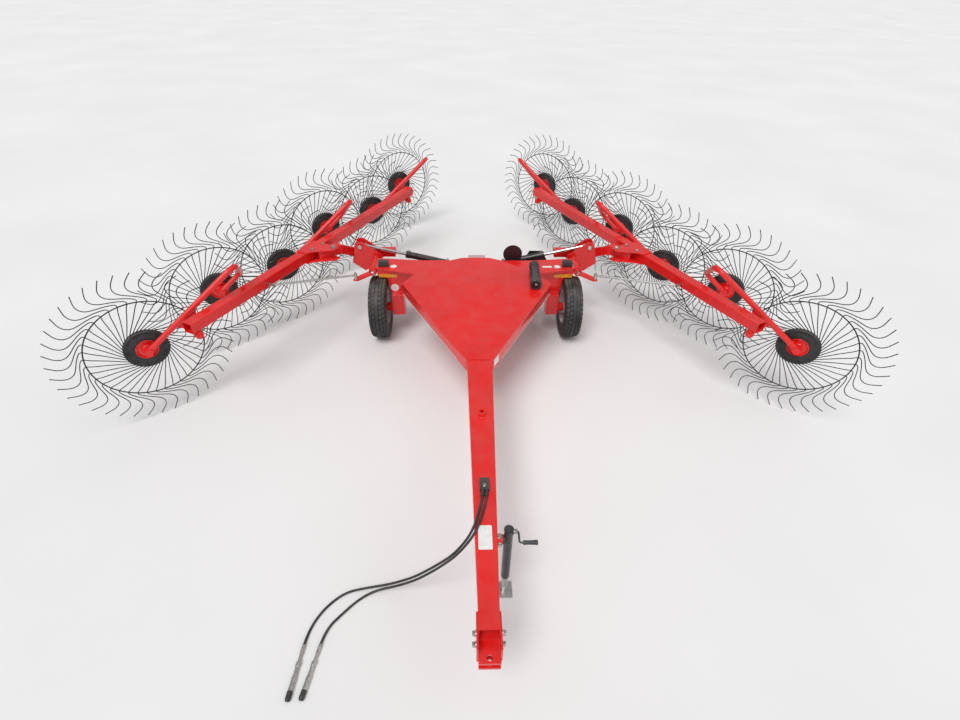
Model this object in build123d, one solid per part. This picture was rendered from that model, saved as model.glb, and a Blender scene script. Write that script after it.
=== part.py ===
from build123d import *
from math import cos, pi, radians, sin, tan
import os

# Twelve-wheel carted V rake. Millimetres, X to the right seen from the front, Y to the rear, Z up.
# Lengths along Y are first measured from the transport axle (Y = 0, rearwards positive), and the
# whole machine is then shifted so that its outline without the hoses is centred on the origin.
# The left half (negative X) is modelled, and the right half is its mirror image.

CLEAR = 0.3             # seat of a turning or sliding piece
RUN = 0.06              # radial running clearance of a shaft in its bore

# Finger wheels: three pairs on each wing, each pair on a tandem arm
TIP_R = 700.0
RUBBER_R = 175.0
RUBBER_T = 44.0
TINES = 40
TINE_BENDS = [(RUBBER_R - 8, 38.9), (TIP_R - 238, 0), (TIP_R - 125, 24.5), (TIP_R, 18.6)]
                        # radius, degrees round the hub
FIRST_TINE = -0.6       # degrees, so that one tip stands straight down
WIRE = 7.0
HOOP_R = TIP_R - 257
HOOP_W = 11.0
DISH_R = 88.0
DISH_T = 26.0
SPINDLE_R = 19.0
WHEEL_AZ = 36.0         # plane of the wheels, from the X axis
PAIRS = 3
PAIR_PITCH = 1680.0
PAIR_HALF = TIP_R - 310      # hub to pivot, along the wheels' plane
FRONT_GAP = 235.0       # pivot to the front wheel's plane
PAIR_DEPTH = 640.0      # front wheel's plane to the rear wheel's

# Wing beam
BEAM_AZ = 63.5
BEAM_SIZE = 100.0
BEAM_WALL = 6.0
BEAM_CORNER = 10.0
BEAM_TOP = TIP_R + 270
PIVOT_X = -2370.0
PIVOT_Y = -1197.0
BEAM_OUT = 70.0
BEAM_IN = 90.0

# Tandem arms
ARM_D = 50.0
ARM_BEND = 85.0
ARM_OFF = 62.0          # tube's axis in front of the wheel's plane
ARM_PEAK = (70, 545)    # tube's knee beyond and above the hubs, where it crosses the front wheel's rim
ARM_DROP = (230, 150)   # its knee before the rear hub
SHAFT_R = 22.0
BEARING_R = 34.0
SHAFT_Z = BEAM_TOP - BEAM_SIZE - BEARING_R + 3
FOOT_R = 32.0
FOOT_LEN = 60.0

# Fold hinge and swing bracket
FOLD_X = -1075.0
FOLD_Z = 755.0
SLEEVE_R = 40.0
SLEEVE_Y0 = 25.0
SLEEVE_LEN = 290.0
FOLD_R = 24.0
PLATE_T = 14.0
PLATE_GAP = 90.0
EYE_X = -1240.0
EYE_Z = 885.0
PLATE_Y0 = SLEEVE_Y0 + SLEEVE_LEN + 8
PLATE_Y1 = PLATE_Y0 + PLATE_T + PLATE_GAP
EYE_Y = PLATE_Y0 + PLATE_T + PLATE_GAP / 2
LUG = (-1222.0, -150.0, 752.0)      # front lug, where the tie rod ends

# Fold cylinder
BASE_X = -215.0
BASE_Z = 640.0
BARREL_R = 36.0
BARREL_LEN = 560.0
ROD_R = 16.0
ROD_INSERT = 350.0      # base pin to the rod's inner end
EYE_R = 28.0
EYE_W = 44.0
EYE_PLAY = 5.0          # free space between the rod's eye and each half of the bracket's pin
PIN_R = 15.0

# Transport wheels
TRACK = 2060.0
TYRE_R = 335.0
TYRE_W = 185.0
TYRE_ROUND = 45.0
RIM_R = 178.0
AXLE_R = 25.0

# Chassis
NOSE_Y = -3590.0
TAPER_Y = -3470.0
HOOD_FRONT_Y = -1490.0
BAR_W0 = 118.0
BAR_W1 = 208.0
BAR_TOP0 = 620.0
BAR_TOP1 = 760.0
BAR_H0 = 112.0
BAR_H1 = 150.0
BAR_WALL = 6.0
SOCKET = (25.0, 18.0, 45.0)         # radius, bore's radius, height above the drawbar
SOCKET_Y = -2095.0
HOOD = [(112, HOOD_FRONT_Y), (730, -397), (600, -187), (250, 93), (145, 143)]   # right half's plan
HOOD_TOP = 850.0
HOOD_FALL = 84.5        # slope of the top, from its widest point down to its front
HOOD_WALL = 115.0
HOOD_SKIRT = 34.0
HOOD_T = 5.0
FRAME_TOP = 790.0
FRAME_BOT = 500.0
FRAME_T = 10.0
FRONT_WEB_Y = 25.0
REAR_WEB_Y = 190.0
CLEVIS_EAR = 18.0
CLEVIS_PIN_R = 16.5

# Signs, lamps and the manual's canister, which stand on the frame and the hood
LAMP = (100.0, 55.0, 60.0)          # width, depth, height
LAMP_X = -965.0
LAMP_Y = 75.0
REFLECTOR = (190.0, 6.0, 38.0)
REFLECTOR_X = -925.0
REFLECTOR_Z = 702.0
DISC = (400.0, 262.0, 835.0)
DISC_SIGN_R = 102.0
SIGN_X = 678.0
SIGN_Y = 455.0
SIGN_TOP = 778.0
SIGN_HIGH = 248.0
SIGN_T = 3.0
CANISTER_R = 50.0
CANISTER = (Vector(564, -492, 900), Vector(587, -109, 900))

# Hydraulic hoses: they leave the outlet on the drawbar, fall over its left edge and lie on the ground
HOSE_R = 8.0
OUTLET = (62.0, 92.0, 24.0)
OUTLET_Y = -2700.0

# Jack
JACK_X = 135.0
JACK_Y = -3047.0
JACK_H = 705.0
JACK_R = 28.0
JACK_LEG_R = 22.0
JACK_LIFT = 150.0         # travel of the leg
JACK_HEAD = 60.0          # closed top of the jack's tube


def unit(azimuth):
    """Horizontal unit vector at an angle from +X."""
    return Vector(cos(radians(azimuth)), sin(radians(azimuth)), 0)


UP = Vector(0, 0, 1)
BACK = Vector(0, 1, 0)
ALONG = unit(WHEEL_AZ)              # along the wheels' planes, inwards and rearwards
FACE = unit(WHEEL_AZ - 90)          # out of the wheels' front faces
BEAM_DIR = unit(BEAM_AZ)
BEAM_SIDE = unit(BEAM_AZ - 90)      # from the beam towards the chassis


def at_pivot(k, along, depth, z):
    """Point of tandem pair k: along its wheels' plane, behind its pivot, and its height."""
    return Vector(PIVOT_X, PIVOT_Y, z) + BEAM_DIR * (k * PAIR_PITCH) + ALONG * along - FACE * depth


def on_beam(along, side, z):
    """Point at a length along the beam from its first pivot."""
    return Vector(PIVOT_X, PIVOT_Y, z) + BEAM_DIR * along + BEAM_SIDE * side


def hub(k, rear):
    """Centre of the front or the rear finger wheel of pair k."""
    if rear:
        return at_pivot(k, PAIR_HALF, FRONT_GAP + PAIR_DEPTH, TIP_R)
    return at_pivot(k, -PAIR_HALF, FRONT_GAP, TIP_R)


def rod(a, b, radius):
    """Round bar from a to b."""
    a, b = Vector(*a), Vector(*b)
    plane = Plane(origin=a, z_dir=(b - a).normalized())
    return extrude(plane * Circle(radius), (b - a).length)


def bar(a, b, width, height, corner=0):
    """Bar from a to b, its width level, with square or rounded edges."""
    a, b = Vector(*a), Vector(*b)
    run = (b - a).normalized()
    plane = Plane(origin=a, x_dir=run.cross(UP).normalized(), z_dir=run)
    section = RectangleRounded(width, height, corner) if corner else Rectangle(width, height)
    return extrude(plane * section, (b - a).length)


def plate_xz(points, y0, thick):
    """Flat upright plate from y0 rearwards, its outline given as (x, z)."""
    face = make_face(Polyline([Vector(x, y0, z) for x, z in points], close=True))
    return extrude(face, thick, dir=(0, 1, 0))


def plate_xy(points, z0, thick):
    """Flat level plate from z0 upwards, its outline given as (x, y)."""
    face = make_face(Polyline([Vector(x, y, z0) for x, y in points], close=True))
    return extrude(face, thick, dir=(0, 0, 1))


def bent_tube(points, radius, bend):
    """Round tube along a line of points, its corners rounded to the bend radius."""
    line = FilletPolyline(*points, radius=bend)
    return sweep(Plane(origin=line @ 0, z_dir=line % 0) * Circle(radius), path=line)


made = {}


def add(name, *solids):
    """Keep a node's solids."""
    made[name] = solids


def both(name, *solids):
    """Keep a left-hand node and its mirror image."""
    add("left_" + name, *solids)
    add("right_" + name, *[mirror(solid, about=Plane.YZ) for solid in solids])


# Finger wheels

def wheel_plane(k, rear):
    return Plane(origin=hub(k, rear), x_dir=ALONG, z_dir=FACE)


def around(radius, degrees):
    """Point round the hub, in the wheel's own plane."""
    return Vector(radius * cos(radians(degrees)), radius * sin(radians(degrees)), 0)


def tine(turn):
    """One bent tine: straight out of the rubber to its elbow, back to a trough, and out to the tip."""
    line = [around(radius, degrees + turn) for radius, degrees in TINE_BENDS]
    half = WIRE / 2
    sides = [UP.cross((b - a).normalized()) * half for a, b in zip(line, line[1:])]
    shifts = [sides[0]]
    for a, b in zip(sides, sides[1:]):
        shifts.append((a + b) * (half ** 2 / (half ** 2 + a.dot(b))))
    across = UP.cross(line[-1].normalized())
    shifts.append(across * (half ** 2 / across.dot(sides[-1])))
    outline = [p + d for p, d in zip(line, shifts)] + [p - d for p, d in zip(line[::-1], shifts[::-1])]
    return extrude(make_face(Polyline(outline, close=True)), half, both=True)


def rake_wheel():
    """Rubber ring with the tines that stand out of it, and the hoop across their front side."""
    ring = extrude(Circle(RUBBER_R), RUBBER_T / 2, both=True)
    ring += [tine(FIRST_TINE + i * 360 / TINES) for i in range(TINES)]
    band = Circle(HOOP_R + HOOP_W / 2) - Circle(HOOP_R - HOOP_W / 2)
    ring += Pos(0, 0, WIRE / 2) * extrude(band, HOOP_W)
    return ring - extrude(Circle(DISH_R + CLEAR), RUBBER_T, both=True)


# Section of the hub's dish, from its bore to its rim: radius, distance from the wheel's plane
DISH = [(SPINDLE_R + RUN, DISH_T), (34, DISH_T), (38, 22), (44, 8), (70, 6), (76, 14), (80, 20),
        (84, 22.5), (87.5, 20), (DISH_R, 14)]


def wheel_hub():
    """Pressed dish, the same on both sides, round a bored boss."""
    outline = [Vector(r, 0, w) for r, w in DISH] + [Vector(r, 0, -w) for r, w in reversed(DISH)]
    return revolve(make_face(Polyline(outline, close=True)), Axis.Z, 360)


WHEEL = rake_wheel()
WHEEL_HUB = wheel_hub()
for k in range(PAIRS):
    for rear in (False, True):
        number = str(2 * k + 1 + rear)
        place = wheel_plane(k, rear).location
        both("rake_wheel_" + number, place * WHEEL)
        both("wheel_hub_" + number, place * WHEEL_HUB)


# Wing beam with its shaft bearings, and the tandem arms

BEAM_END = (PAIRS - 1) * PAIR_PITCH + BEAM_IN
BEAM_MID = BEAM_TOP - BEAM_SIZE / 2


def shaft_line(k, front, rear, radius):
    """Round piece on the pivot shaft's axis of pair k, between two depths behind the pivot."""
    return rod(at_pivot(k, 0, front, SHAFT_Z), at_pivot(k, 0, rear, SHAFT_Z), radius)


def wing_beam():
    inside = BEAM_SIZE - 2 * BEAM_WALL
    solid = bar(on_beam(-BEAM_OUT, 0, BEAM_MID), on_beam(BEAM_END, 0, BEAM_MID), BEAM_SIZE, BEAM_SIZE,
                BEAM_CORNER)
    for k in range(PAIRS):
        solid += shaft_line(k, -60, 80, BEARING_R)
    solid -= bar(on_beam(-BEAM_OUT - 1, 0, BEAM_MID), on_beam(BEAM_END + 1, 0, BEAM_MID), inside, inside,
                 BEAM_CORNER - BEAM_WALL)
    for k in range(PAIRS):
        solid -= shaft_line(k, -70, 90, SHAFT_R + CLEAR)
    return solid


def tandem_arm(k):
    """Pivot shaft, bent tube from the front wheel over its rim to the rear wheel, and spindles."""
    front = FRONT_GAP - ARM_OFF
    back = front + PAIR_DEPTH
    tube = bent_tube([at_pivot(k, along, depth, z) for along, depth, z in (
        (-PAIR_HALF, front, TIP_R),
        (PAIR_HALF + ARM_PEAK[0], front, TIP_R + ARM_PEAK[1]),
        (PAIR_HALF + ARM_DROP[0], back, TIP_R + ARM_DROP[1]),
        (PAIR_HALF, back, TIP_R))], ARM_D / 2, ARM_BEND)
    shaft = shaft_line(k, -72, front + 6, SHAFT_R)
    cap = shaft_line(k, -72, -60 - CLEAR, BEARING_R - 4)
    corners = [(-75, SHAFT_Z - 26), (30, SHAFT_Z - 26), (70, SHAFT_Z + 150), (-150, SHAFT_Z + 20)]
    gusset = extrude(make_face(Polyline([at_pivot(k, s, front + 6, z) for s, z in corners], close=True)),
                     12, dir=FACE)
    solid = tube + shaft + cap + gusset
    for rear in (False, True):
        centre = hub(k, rear)
        solid += rod(centre + FACE * (ARM_OFF + FOOT_LEN / 2), centre + FACE * (ARM_OFF - FOOT_LEN / 2), FOOT_R)
        solid += rod(centre + FACE * ARM_OFF, centre - FACE * (DISH_T + 4), SPINDLE_R)
        solid += rod(centre - FACE * (DISH_T + CLEAR), centre - FACE * (DISH_T + 14), FOOT_R - 6)
    return solid


both("wing_beam", wing_beam())
for k in range(PAIRS):
    both("tandem_arm_" + str(k + 1), tandem_arm(k))


# Swing bracket: all that turns in the fold sleeve, out to its arm between the centre plates

MID = PAIR_PITCH - 190              # middle of the centre plates along the beam
PLATES = [(-150, -58), (-150, 58), (-95, 90), (40, 270), (110, 270), (120, 58), (120, -58)]


def centre_plate(z):
    return plate_xy([(p.X, p.Y) for p in [on_beam(MID + along, side, 0) for along, side in PLATES]], z, 12)


def swing_bracket():
    outline = [(-1290, 915), (-1265, 935), (-1215, 935), (-1190, 915), (-1015, 790),
               (-1010, 715), (-1210, 600), (-1340, 700)]
    depth = PLATE_Y1 + PLATE_T - PLATE_Y0
    solid = plate_xz(outline, PLATE_Y0, PLATE_T) + plate_xz(outline, PLATE_Y1, PLATE_T)
    solid += plate_xz([(-1339, 702), (-1292, 910), (-1279, 907), (-1326, 699)], PLATE_Y0, depth)
    solid += plate_xz([(-1338, 700), (-1211, 601), (-1203, 611), (-1330, 710)], PLATE_Y0, depth)
    solid += rod((FOLD_X, SLEEVE_Y0 - 34, FOLD_Z), (FOLD_X, PLATE_Y1 + PLATE_T + 8, FOLD_Z), FOLD_R)
    lug = [(FOLD_X + 30, SLEEVE_Y0 - 8), (FOLD_X + 30, SLEEVE_Y0 - 40), (LUG[0] + 18, LUG[1] - 26),
           (LUG[0] - 26, LUG[1] - 16), (LUG[0] - 20, LUG[1] + 30), (FOLD_X - 40, SLEEVE_Y0 - 8)]
    solid += plate_xy(lug, LUG[2] - 7, 14)
    solid += rod((FOLD_X, SLEEVE_Y0 - 34, FOLD_Z), (FOLD_X, SLEEVE_Y0 - 8, FOLD_Z), SLEEVE_R)
    stub_y = PLATE_Y1 + PLATE_T + 40
    solid += bar((-1060, stub_y, 748), (-885, stub_y, 748), 80, 80)
    solid -= bar((-1052, stub_y, 748), (-884, stub_y, 748), 68, 68)
    knee = Vector(-1425, 222, BEAM_MID)
    level = bar(on_beam(MID - 20, 98, BEAM_MID), knee, 76, BEAM_SIZE - 2 * CLEAR)
    slope = bar(knee - BACK * 20, (-1318, EYE_Y, 800), 70, 92)
    solid += level + slope
    solid -= rod((EYE_X, PLATE_Y0 + PLATE_T, EYE_Z), (EYE_X, PLATE_Y1, EYE_Z), EYE_R + 16)
    play = EYE_W / 2 + EYE_PLAY
    solid += rod((EYE_X, PLATE_Y0 - 12, EYE_Z), (EYE_X, EYE_Y - play, EYE_Z), PIN_R)
    return solid + rod((EYE_X, EYE_Y + play, EYE_Z), (EYE_X, PLATE_Y1 + PLATE_T + 12, EYE_Z), PIN_R)


def tie_rod():
    seat = on_beam(800, BEAM_SIZE / 2 + CLEAR, BEAM_MID - 15)
    end = seat + BEAM_SIDE * 55
    pin_top = Vector(*LUG) + UP * 50
    solid = rod(seat, end + BEAM_SIDE * 16, 14)
    solid += rod(end, pin_top, 11)
    return solid + rod(Vector(*LUG) + UP * (7 + CLEAR), pin_top + UP * 16, 16)


both("swing_bracket", swing_bracket())
both("centre_plates", centre_plate(BEAM_TOP), centre_plate(BEAM_TOP - BEAM_SIZE - 12))
both("tie_rod", tie_rod())


# Fold cylinder, from its base lugs to its eye on the bracket's pin

BASE = Vector(BASE_X, EYE_Y, BASE_Z)
EYE = Vector(EYE_X, EYE_Y, EYE_Z)
STROKE_DIR = (EYE - BASE).normalized()


def knuckle(centre, towards):
    """Eye across the cylinder's end, with a neck towards its body."""
    half = BACK * (EYE_W / 2)
    neck = bar(centre + towards * 4, centre + towards * 58, EYE_W, EYE_R * 1.5)
    return rod(centre - half, centre + half, EYE_R) + neck


barrel = knuckle(BASE, STROKE_DIR) + rod(BASE + STROKE_DIR * 56, BASE + STROKE_DIR * BARREL_LEN, BARREL_R)
barrel += rod(BASE + STROKE_DIR * (BARREL_LEN - 45), BASE + STROKE_DIR * BARREL_LEN, BARREL_R + 4)
barrel -= rod(BASE + STROKE_DIR * 70, BASE + STROKE_DIR * (BARREL_LEN + 1), ROD_R + RUN)
barrel -= rod(BASE - BACK * EYE_W, BASE + BACK * EYE_W, PIN_R + RUN)
piston_rod = knuckle(EYE, -STROKE_DIR) + rod(BASE + STROKE_DIR * ROD_INSERT, EYE - STROKE_DIR * 50, ROD_R)
both("cylinder_barrel", barrel)
both("cylinder_rod", piston_rod)


# Transport wheels

HUB = Vector(-TRACK / 2, 0, TYRE_R)
LEG_X = HUB.X + 200
OUT = Vector(-1, 0, 0)


def tyre():
    solid = rod(HUB - OUT * (TYRE_W / 2), HUB + OUT * (TYRE_W / 2), TYRE_R)
    solid = fillet(solid.edges(), TYRE_ROUND)
    return solid - rod(HUB - OUT * TYRE_W, HUB + OUT * TYRE_W, RIM_R)


def rim():
    half = TYRE_W / 2 - 12
    solid = rod(HUB - OUT * half, HUB + OUT * half, RIM_R - CLEAR)
    solid -= rod(HUB - OUT * (half + 1), HUB - OUT * 4, RIM_R - 8)
    solid -= rod(HUB + OUT * 10, HUB + OUT * (half + 1), RIM_R - 8)
    solid += rod(HUB - OUT * 66, HUB + OUT * 38, 52)
    return solid - rod(HUB - OUT * 70, HUB + OUT * 20, AXLE_R + RUN)


both("tyre", tyre())
both("rim", rim())


# Chassis

def half_frame():
    """Box crossbeam from the middle to the fold sleeve, its webs cut round the tyre."""
    top = [(0, -110), (-600, -110), (FOLD_X + 25, FRONT_WEB_Y), (FOLD_X + 25, REAR_WEB_Y + 60),
           (-600, REAR_WEB_Y + FRAME_T), (0, REAR_WEB_Y + FRAME_T)]
    web = [(0, 785), (FOLD_X + 36, 785), (FOLD_X + 45, 706), (HUB.X + 62, 692), (HUB.X + 104, 655),
           (HUB.X + 118, FRAME_BOT), (0, FRAME_BOT)]
    solid = plate_xy(top, FRAME_TOP - FRAME_T, FRAME_T)
    solid += plate_xz(web, FRONT_WEB_Y, FRAME_T) + plate_xz(web, REAR_WEB_Y, FRAME_T)
    leg_top = FRAME_BOT + 8
    leg_low = HUB.Z - 65
    solid += Pos(LEG_X, 0, (leg_top + leg_low) / 2) * Box(130, 120, leg_top - leg_low)
    solid += Pos(LEG_X, 85, FRAME_BOT - 2) * Box(130, 240, 20)
    solid += rod(Vector(LEG_X - 40, HUB.Y, HUB.Z), HUB + OUT * 18, AXLE_R)
    solid += rod(Vector(LEG_X - 40, HUB.Y, HUB.Z), HUB - OUT * 72, 50)
    solid += rod((FOLD_X, SLEEVE_Y0, FOLD_Z), (FOLD_X, SLEEVE_Y0 + SLEEVE_LEN, FOLD_Z), SLEEVE_R)
    shelf_y = (REAR_WEB_Y + 5 + EYE_Y + 44) / 2
    solid += Pos(BASE_X / 2 - 20, shelf_y, BASE_Z - 46) * Box(-BASE_X + 60, EYE_Y + 39 - REAR_WEB_Y, 12)
    for side in (-1, 1):
        solid += Pos(BASE_X, EYE_Y + side * 32, BASE_Z - 5) * Box(56, 12, 76)
    solid += rod((BASE_X, EYE_Y - 44, BASE_Z), (BASE_X, EYE_Y + 44, BASE_Z), PIN_R)
    prop = HOOD_TOP - HOOD_T - 0.2 - FRAME_TOP
    solid += Pos(-40, 60, FRAME_TOP + prop / 2) * Box(80, 60, prop)
    return solid - rod((FOLD_X, SLEEVE_Y0 - 1, FOLD_Z), (FOLD_X, SLEEVE_Y0 + SLEEVE_LEN + 1, FOLD_Z), FOLD_R + RUN)


def cross_frame():
    left = half_frame()
    return left + mirror(left, about=Plane.YZ)


HOOD_WIDE, HOOD_FOLD_Y = HOOD[1]
HOOD_REAR_Y = HOOD[-1][1]
HOOD_SLOPE = HOOD_FALL / (HOOD_FOLD_Y - HOOD_FRONT_Y)


def hood_z(y):
    """Height of the hood's top."""
    return HOOD_TOP - HOOD_SLOPE * max(0, HOOD_FOLD_Y - y)


def hood_side(drop, wall, skirt):
    """Side view of the hood, from the drop under its top to its walls' lower edges."""
    y0 = HOOD_FRONT_Y - 1
    y1 = HOOD_REAR_Y + 1
    outline = [(y0, hood_z(y0) - drop), (HOOD_FOLD_Y, HOOD_TOP - drop), (y1, HOOD_TOP - drop),
               (y1, HOOD_TOP - skirt), (HOOD_FOLD_Y, HOOD_TOP - skirt), (HOOD_FOLD_Y, HOOD_TOP - wall),
               (y0, hood_z(y0) - wall)]
    face = make_face(Polyline([Vector(-HOOD_WIDE, y, z) for y, z in outline], close=True))
    return extrude(face, 2 * HOOD_WIDE, dir=(1, 0, 0))


def hood():
    """Folded cover over the drawbar's root: sloped top, deep walls in front, shallow skirts behind."""
    outline = HOOD + [(-x, y) for x, y in reversed(HOOD)]
    low = HOOD_TOP - HOOD_FALL - HOOD_WALL - 20
    plan = make_face(Polyline([Vector(x, y, low) for x, y in outline], close=True))
    high = HOOD_TOP + 1 - low
    shell = extrude(plan, high, dir=(0, 0, 1)) & hood_side(0, HOOD_WALL, HOOD_SKIRT)
    inside = extrude(offset(plan, -HOOD_T, kind=Kind.INTERSECTION), high, dir=(0, 0, 1))
    shell -= inside & hood_side(HOOD_T, HOOD_WALL + 5, HOOD_SKIRT + 5)
    mouth = Pos(0, HOOD_FRONT_Y, hood_z(HOOD_FRONT_Y) - HOOD_T - 100) * Box(2 * HOOD[0][0] - 12, 16, 200)
    return shell - mouth


BAR_SLOPE = (BAR_TOP1 - BAR_TOP0) / (HOOD_FRONT_Y - TAPER_Y)


def bar_top(y):
    """Height of the drawbar's top along its taper."""
    return BAR_TOP0 + BAR_SLOPE * (y - TAPER_Y)


def bar_section(y, width, top, height, inset):
    plane = Plane(origin=(0, y, top - height / 2), x_dir=(1, 0, 0), z_dir=(0, 1, 0))
    return plane * Rectangle(width - 2 * inset, height - 2 * inset)


def tapered(inset):
    """Drawbar's outside, or its inside, from the nose to the frame's front web."""
    nose = extrude(bar_section(NOSE_Y, BAR_W0, BAR_TOP0, BAR_H0, inset), TAPER_Y - NOSE_Y, dir=(0, 1, 0))
    taper = loft([bar_section(TAPER_Y, BAR_W0, BAR_TOP0, BAR_H0, inset),
                  bar_section(HOOD_FRONT_Y, BAR_W1, BAR_TOP1, BAR_H1, inset)])
    root = extrude(bar_section(HOOD_FRONT_Y, BAR_W1, BAR_TOP1, BAR_H1, inset),
                   FRONT_WEB_Y - CLEAR - HOOD_FRONT_Y, dir=(0, 1, 0))
    return nose + taper + root


def drawbar():
    solid = tapered(0)
    for y in (-1300, -800, -300):
        prop = hood_z(y - 30) - HOOD_T - 0.2 - BAR_TOP1
        solid += Pos(0, y, BAR_TOP1 + prop / 2) * Box(170, 60, prop)
    side = JACK_X - 35
    solid += rod((40, JACK_Y, BAR_TOP0 - 20), (side, JACK_Y, BAR_TOP0 - 20), 30)
    radius, bore, high = SOCKET
    foot = bar_top(SOCKET_Y) - 20
    solid += rod((0, SOCKET_Y, foot), (0, SOCKET_Y, foot + 20 + high), radius)
    solid -= tapered(BAR_WALL)
    return solid - rod((0, SOCKET_Y, foot - 10), (0, SOCKET_Y, foot + 21 + high), bore)


def hitch_clevis():
    z0 = BAR_TOP0 - BAR_H0
    solid = Pos(0, NOSE_Y - 40, z0 - 12) * Box(BAR_W0 + 2 * CLEAR, 160, CLEVIS_EAR)
    solid += Pos(0, NOSE_Y - 40, z0 - 66) * Box(BAR_W0 + 2 * CLEAR, 160, CLEVIS_EAR)
    for side in (-1, 1):
        solid += Pos(side * (BAR_W0 / 2 + 5 + CLEAR), NOSE_Y + 20, z0 - 5) * Box(10, 200, 140)
    return solid - rod((0, NOSE_Y - 90, z0 - 200), (0, NOSE_Y - 90, z0 + 100), CLEVIS_PIN_R)


def jack_body():
    z = BAR_TOP0 - 20
    crank_z = JACK_H - 25
    solid = rod((JACK_X, JACK_Y, 190), (JACK_X, JACK_Y, JACK_H), JACK_R)
    solid += rod((JACK_X - 35 + CLEAR, JACK_Y, z), (JACK_X, JACK_Y, z), 30)
    solid -= rod((JACK_X, JACK_Y, 180), (JACK_X, JACK_Y, JACK_H - JACK_HEAD), JACK_LEG_R + RUN)
    crank = FilletPolyline((JACK_X + 20, JACK_Y, crank_z), (JACK_X + 58, JACK_Y, crank_z),
                           (JACK_X + 58, JACK_Y - 75, crank_z), (JACK_X + 90, JACK_Y - 75, crank_z), radius=12)
    solid += sweep(Plane(origin=crank @ 0, z_dir=crank % 0) * Circle(6), path=crank)
    return solid + rod((JACK_X + 80, JACK_Y - 75, crank_z), (JACK_X + 165, JACK_Y - 75, crank_z), 12)


def jack_leg():
    top = JACK_H - JACK_HEAD - JACK_LIFT - 5
    leg = rod((JACK_X, JACK_Y, 0), (JACK_X, JACK_Y, top), JACK_LEG_R)
    return leg + Pos(JACK_X, JACK_Y, 5) * Box(110, 110, 10)


def marker_lamps():
    y = LAMP_Y
    z = FRAME_TOP + CLEAR + LAMP[2] / 2
    return [Pos(x, y, z) * Box(*LAMP) for x in (LAMP_X, -LAMP_X)]


def amber_reflectors():
    y = FRONT_WEB_Y - CLEAR - REFLECTOR[1] / 2
    return [Pos(x, y, REFLECTOR_Z) * Box(*REFLECTOR) for x in (REFLECTOR_X, -REFLECTOR_X)]


def cranked_strip(x, width, low, y, high):
    """Flat strip from the frame's rear web straight back, then up behind a sign."""
    back = REAR_WEB_Y + FRAME_T + CLEAR
    solid = Pos(x, back + 3, low + 17) * Box(width, 6, 40)
    solid += Pos(x, (back + y) / 2, low) * Box(width, y - back, 6)
    return solid + Pos(x, y - 3, (low + high) / 2) * Box(width, 6, high - low + 6)


def speed_disc():
    """Round plate that faces the rear."""
    x, y, z = DISC
    plate = extrude(Plane(origin=(x, y, z), z_dir=(0, 1, 0)) * Circle(DISC_SIGN_R), SIGN_T)
    return plate + cranked_strip(x, 40, 740, y, z + 20)


def slow_sign():
    """Triangular plate with its corners cut off, facing the rear under the cylinder."""
    low = SIGN_TOP - SIGN_HIGH
    half = [(73, SIGN_TOP), (185, low + 32), (170, low)]
    outline = [(SIGN_X + x, z) for x, z in half] + [(SIGN_X - x, z) for x, z in reversed(half)]
    return plate_xz(outline, SIGN_Y, SIGN_T) + cranked_strip(SIGN_X, 45, low + 30, SIGN_Y, low + 150)


def manual_canister():
    """Round box for the papers, lying on the hood in its cradle."""
    a, b = CANISTER
    run = (b - a).normalized()
    solid = rod(a, b, CANISTER_R) + rod(a - run * 14, a + run * 30, CANISTER_R + 4)
    seat = a + run * 160
    low = HOOD_TOP + CLEAR
    high = seat.Z - CANISTER_R / 2
    return solid + Pos(seat.X, seat.Y, (low + high) / 2) * Box(70, 60, high - low)


OUTLET_TOP = bar_top(OUTLET_Y)
OUTLET_UP = Vector(0, -BAR_SLOPE, 1).normalized()
OUTLET_FRONT = OUTLET_Y - OUTLET[1] / 2


def hose_outlet():
    plane = Plane(origin=Vector(0, OUTLET_Y, OUTLET_TOP) + OUTLET_UP * CLEAR, x_dir=(1, 0, 0), z_dir=OUTLET_UP)
    solid = extrude(plane * Rectangle(OUTLET[0], OUTLET[1]), OUTLET[2])
    return solid + rod((-14, OUTLET_FRONT + 10, EXIT_Z), (-14, OUTLET_FRONT - 12, EXIT_Z), 10) \
        + rod((14, OUTLET_FRONT + 10, EXIT_Z), (14, OUTLET_FRONT - 12, EXIT_Z), 10)


EXIT_Z = OUTLET_TOP + BAR_SLOPE * -OUTLET[1] / 2 + 13
EXIT_Y = OUTLET_FRONT - 12

# Route of each hose: x, y, z
HOSE_1 = [(-14, EXIT_Y, EXIT_Z), (-20, -2815, 680), (-40, -2898, 674), (-66, -2985, 668), (-108, -3062, 640),
          (-195, -3093, 520), (-276, -3087, 420), (-362, -3072, 310), (-467, -3054, 190), (-619, -3029, 70),
          (-769, -3019, 12), (-921, -3046, 9), (-1023, -3130, 9), (-1085, -3222, 9), (-1119, -3321, 9),
          (-1124, -3386, 16)]
HOSE_2 = [(14, EXIT_Y, EXIT_Z), (8, -2815, 680), (-14, -2900, 674), (-44, -2990, 669), (-84, -3070, 655),
          (-176, -3112, 540), (-258, -3110, 436), (-347, -3100, 324), (-457, -3082, 200), (-590, -3052, 78),
          (-721, -3040, 14), (-830, -3097, 9), (-924, -3194, 9), (-1008, -3290, 9), (-1023, -3385, 16)]


def arc_radii(points):
    """Largest sensible arc at each corner of a hose's route."""
    radii = []
    for before, here, after in zip(points, points[1:], points[2:]):
        a, b = Vector(*here) - Vector(*before), Vector(*after) - Vector(*here)
        turn = radians(a.get_angle(b))
        radii.append(0.45 * min(a.length, b.length) / tan(turn / 2))
    return radii


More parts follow.
